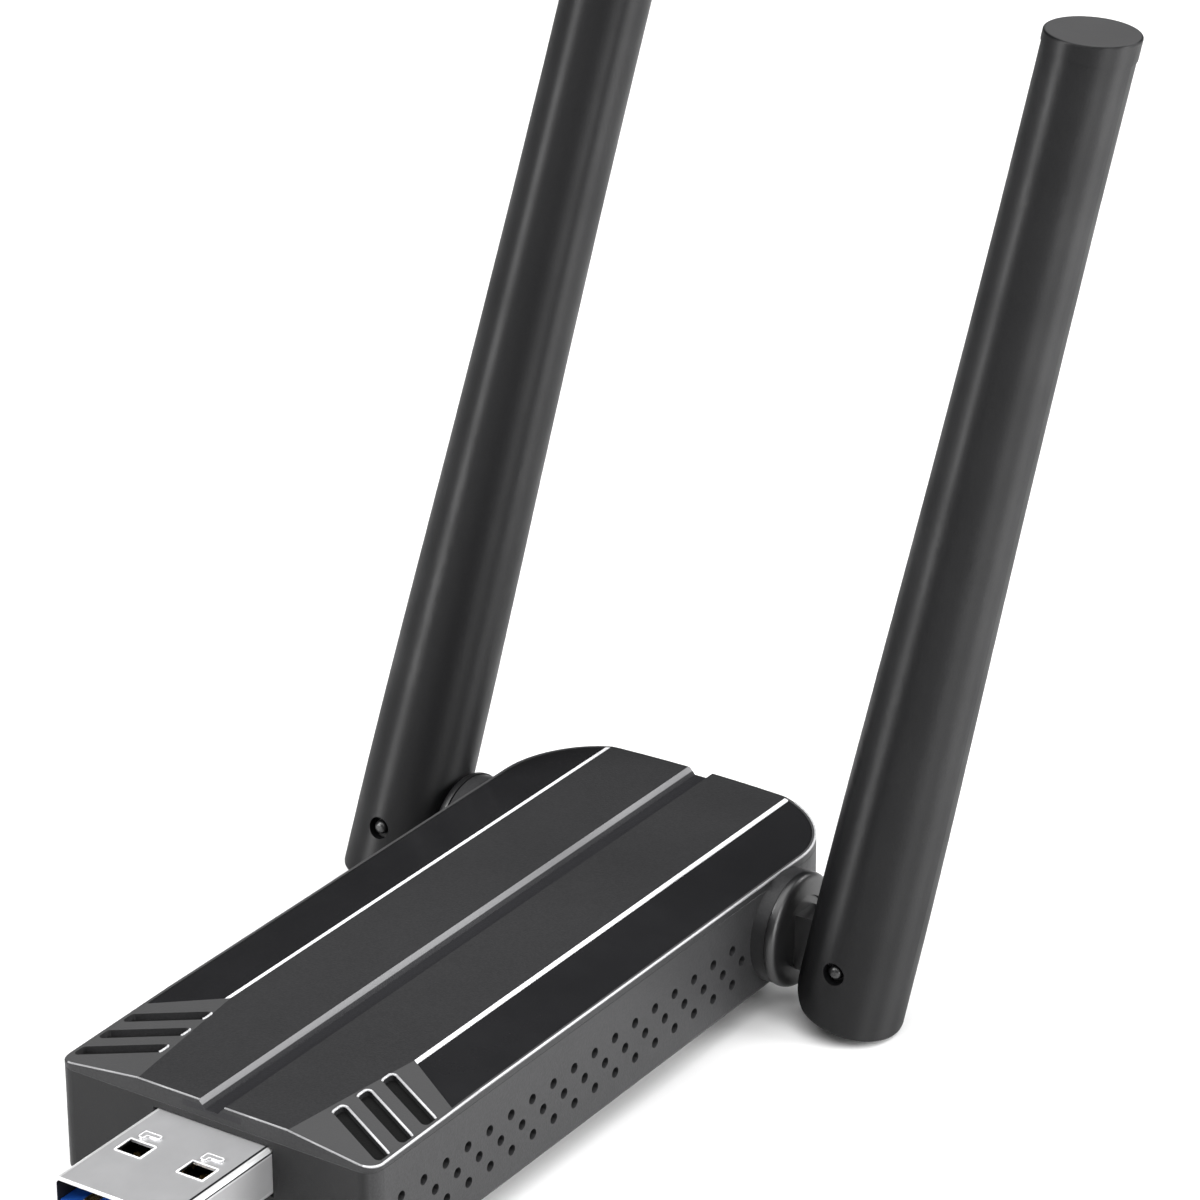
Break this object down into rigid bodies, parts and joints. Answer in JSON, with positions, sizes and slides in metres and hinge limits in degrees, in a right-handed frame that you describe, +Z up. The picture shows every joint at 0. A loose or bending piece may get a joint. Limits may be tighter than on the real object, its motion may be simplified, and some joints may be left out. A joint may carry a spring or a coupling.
{
  "type": "usb wifi adapter",
  "caption": "USB wifi adapter: slim plastic housing with a USB-A plug, vented sides, glossy top panels and folding rod antennas on rear swivels.",
  "frame": {"origin": "centre of the housing's flat underside", "axes": "+Z up out of the housing's top, -Y out of the USB plug, +X towards the right-hand antenna"},
  "size_m": [0.0766, 0.0905, 0.0946],
  "materials": {
    "housing_plastic": "fine texture",
    "top_plastic": "fine texture",
    "gloss_black": "satin gloss",
    "bright_trim": "bright",
    "smoked_lens": "smoked",
    "plug_steel": "nickel plated",
    "usb_blue": "moulded",
    "black_insulator": "moulded",
    "gold_contacts": "gold plated",
    "board_green": "solder mask",
    "tin_plate": "tin plated",
    "chip_epoxy": "moulded epoxy",
    "capacitor_ceramic": "fired",
    "led_resin": "clear resin",
    "thermal_silicone": "soft",
    "spreader_aluminium": "rolled",
    "coax_jacket": "smooth",
    "hinge_plastic": "satin",
    "spring_steel": "bare",
    "antenna_plastic": "fine texture",
    "dipole_brass": "drawn"
  },
  "bodies": {
    "housing": {"bottom_cover": "housing_plastic", "top_cover": "top_plastic", "gloss_panel_left": "gloss_black", "gloss_panel_right": "gloss_black", "trim_line_left": "bright_trim", "trim_line_right": "bright_trim", "led_light_pipe": "smoked_lens", "usb_shell": "plug_steel", "usb_tongue": "usb_blue", "usb_rear_block": "black_insulator", "usb2_contacts": "gold_contacts", "usb3_contacts": "gold_contacts", "circuit_board": "board_green", "rf_shield": "tin_plate", "wifi_chip": "chip_epoxy", "crystal": "tin_plate", "flash_chip": "chip_epoxy", "power_inductor": "chip_epoxy", "board_capacitors": "capacitor_ceramic", "front_end_chips": "chip_epoxy", "status_led": "led_resin", "thermal_pad": "thermal_silicone", "heat_spreader": "spreader_aluminium", "coax_lead_left": "coax_jacket", "coax_lead_right": "coax_jacket"},
    "left_swivel": {"left_swivel_barrel": "hinge_plastic", "left_swivel_clip": "spring_steel", "left_swivel_washer": "spring_steel", "left_swivel_coax": "coax_jacket"},
    "left_antenna": {"left_antenna_sleeve": "antenna_plastic", "left_antenna_cap": "antenna_plastic", "left_hinge_pin": "hinge_plastic", "left_antenna_choke_tube": "dipole_brass", "left_antenna_coax": "coax_jacket", "left_antenna_radiator": "dipole_brass"},
    "right_swivel": {"right_swivel_barrel": "hinge_plastic", "right_swivel_clip": "spring_steel", "right_swivel_washer": "spring_steel", "right_swivel_coax": "coax_jacket"},
    "right_antenna": {"right_antenna_sleeve": "antenna_plastic", "right_antenna_cap": "antenna_plastic", "right_hinge_pin": "hinge_plastic", "right_antenna_choke_tube": "dipole_brass", "right_antenna_coax": "coax_jacket", "right_antenna_radiator": "dipole_brass"}
  },
  "joints": [
    {"name": "left_swivel", "type": "hinge", "parent": "housing", "child": "left_swivel", "pos_m": [-0.0161, 0.0246, 0.0053], "axis": [1, 0, 0], "range_deg": [-81.5, 55]},
    {"name": "right_swivel", "type": "hinge", "parent": "housing", "child": "right_swivel", "pos_m": [0.0161, 0.0246, 0.0053], "axis": [1, 0, 0], "range_deg": [-87.9, 92.1]},
    {"name": "left_tilt", "type": "hinge", "parent": "left_swivel", "child": "left_antenna", "pos_m": [-0.0245, 0.02453, 0.00481], "axis": [0, 0.989, -0.1478], "range_deg": [-96.3, 0]},
    {"name": "right_tilt", "type": "hinge", "parent": "right_swivel", "child": "right_antenna", "pos_m": [0.0245, 0.02458, 0.0048], "axis": [0, 0.9993, -0.0366], "range_deg": [-11.5, 74.5]}
  ]
}
